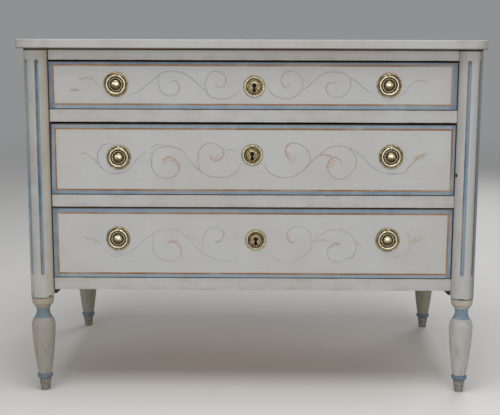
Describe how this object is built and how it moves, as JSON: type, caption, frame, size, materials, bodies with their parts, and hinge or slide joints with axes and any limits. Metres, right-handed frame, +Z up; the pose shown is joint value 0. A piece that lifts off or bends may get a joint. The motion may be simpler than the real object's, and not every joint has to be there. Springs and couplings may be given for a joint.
{
  "type": "commode",
  "caption": "Painted floor-standing commode with lockable drawers between round fluted corner columns, on turned feet, with ring pulls.",
  "frame": {"origin": "on the floor under the middle of the case, halfway between its front and back edges", "axes": "+Z up, the drawers open along -Y, +X is at the right of someone who faces the front"},
  "size_m": [1.132, 0.6554, 0.876],
  "materials": {
    "painted_wood": "greyish white distressed paint with blue and ochre borders",
    "bare_pine": "unpainted old pine",
    "brass": "aged brass, worn bright on the high parts",
    "iron": "dark forged iron"
  },
  "bodies": {
    "carcase": {"top_board": "painted_wood", "top_screws": "iron", "column_front_left": "painted_wood", "column_front_right": "painted_wood", "post_rear_left": "painted_wood", "post_rear_right": "painted_wood", "foot_front_left": "painted_wood", "foot_front_right": "painted_wood", "foot_rear_left": "painted_wood", "foot_rear_right": "painted_wood", "side_panel_left": "painted_wood", "side_panel_right": "painted_wood", "rail_bottom": "painted_wood", "rail_lower": "painted_wood", "rail_upper": "painted_wood", "rail_top": "painted_wood", "rear_rails": "bare_pine", "back_boards": "bare_pine", "bottom_board": "bare_pine", "drawer_runners": "bare_pine", "drawer_guides": "bare_pine", "kickers": "bare_pine", "drawer_stops": "bare_pine", "corner_blocks": "bare_pine"},
    "drawer_1": {"drawer_1_front": "painted_wood", "drawer_1_side_left": "bare_pine", "drawer_1_side_right": "bare_pine", "drawer_1_back": "bare_pine", "drawer_1_bottom": "bare_pine", "drawer_1_lock_case": "iron", "drawer_1_escutcheon": "brass", "drawer_1_pull_plates": "brass", "drawer_1_pull_studs": "brass"},
    "bolt_1": {"drawer_1_lock_bolt": "iron"},
    "ring_1_left": {"drawer_1_ring_left": "brass"},
    "ring_1_right": {"drawer_1_ring_right": "brass"},
    "drawer_2": {"drawer_2_front": "painted_wood", "drawer_2_side_left": "bare_pine", "drawer_2_side_right": "bare_pine", "drawer_2_back": "bare_pine", "drawer_2_bottom": "bare_pine", "drawer_2_lock_case": "iron", "drawer_2_escutcheon": "brass", "drawer_2_pull_plates": "brass", "drawer_2_pull_studs": "brass"},
    "bolt_2": {"drawer_2_lock_bolt": "iron"},
    "ring_2_left": {"drawer_2_ring_left": "brass"},
    "ring_2_right": {"drawer_2_ring_right": "brass"},
    "drawer_3": {"drawer_3_front": "painted_wood", "drawer_3_side_left": "bare_pine", "drawer_3_side_right": "bare_pine", "drawer_3_back": "bare_pine", "drawer_3_bottom": "bare_pine", "drawer_3_lock_case": "iron", "drawer_3_escutcheon": "brass", "drawer_3_pull_plates": "brass", "drawer_3_pull_studs": "brass"},
    "bolt_3": {"drawer_3_lock_bolt": "iron"},
    "ring_3_left": {"drawer_3_ring_left": "brass"},
    "ring_3_right": {"drawer_3_ring_right": "brass"}
  },
  "joints": [
    {"name": "drawer_1_slide", "type": "slide", "parent": "carcase", "child": "drawer_1", "axis": [0, -1, 0], "range_m": [0, 0.38]},
    {"name": "bolt_1_slide", "type": "slide", "parent": "drawer_1", "child": "bolt_1", "axis": [0, 0, 1], "range_m": [0, 0.014]},
    {"name": "ring_1_left_hinge", "type": "hinge", "parent": "drawer_1", "child": "ring_1_left", "pos_m": [-0.3308, -0.2857, 0.7898], "axis": [-1, 0, 0], "range_deg": [0, 150]},
    {"name": "ring_1_right_hinge", "type": "hinge", "parent": "drawer_1", "child": "ring_1_right", "pos_m": [0.3282, -0.2857, 0.7896], "axis": [-1, 0, 0], "range_deg": [0, 150]},
    {"name": "drawer_2_slide", "type": "slide", "parent": "carcase", "child": "drawer_2", "axis": [0, -1, 0], "range_m": [0, 0.38]},
    {"name": "bolt_2_slide", "type": "slide", "parent": "drawer_2", "child": "bolt_2", "axis": [0, 0, 1], "range_m": [0, 0.014]},
    {"name": "ring_2_left_hinge", "type": "hinge", "parent": "drawer_2", "child": "ring_2_left", "pos_m": [-0.3272, -0.2857, 0.6132], "axis": [-1, 0, 0], "range_deg": [0, 150]},
    {"name": "ring_2_right_hinge", "type": "hinge", "parent": "drawer_2", "child": "ring_2_right", "pos_m": [0.3374, -0.2857, 0.6167], "axis": [-1, 0, 0], "range_deg": [0, 150]},
    {"name": "drawer_3_slide", "type": "slide", "parent": "carcase", "child": "drawer_3", "axis": [0, -1, 0], "range_m": [0, 0.38]},
    {"name": "bolt_3_slide", "type": "slide", "parent": "drawer_3", "child": "bolt_3", "axis": [0, 0, 1], "range_m": [0, 0.014]},
    {"name": "ring_3_left_hinge", "type": "hinge", "parent": "drawer_3", "child": "ring_3_left", "pos_m": [-0.3317, -0.2857, 0.4112], "axis": [-1, 0, 0], "range_deg": [0, 150]},
    {"name": "ring_3_right_hinge", "type": "hinge", "parent": "drawer_3", "child": "ring_3_right", "pos_m": [0.3338, -0.2857, 0.4104], "axis": [-1, 0, 0], "range_deg": [0, 150]}
  ]
}
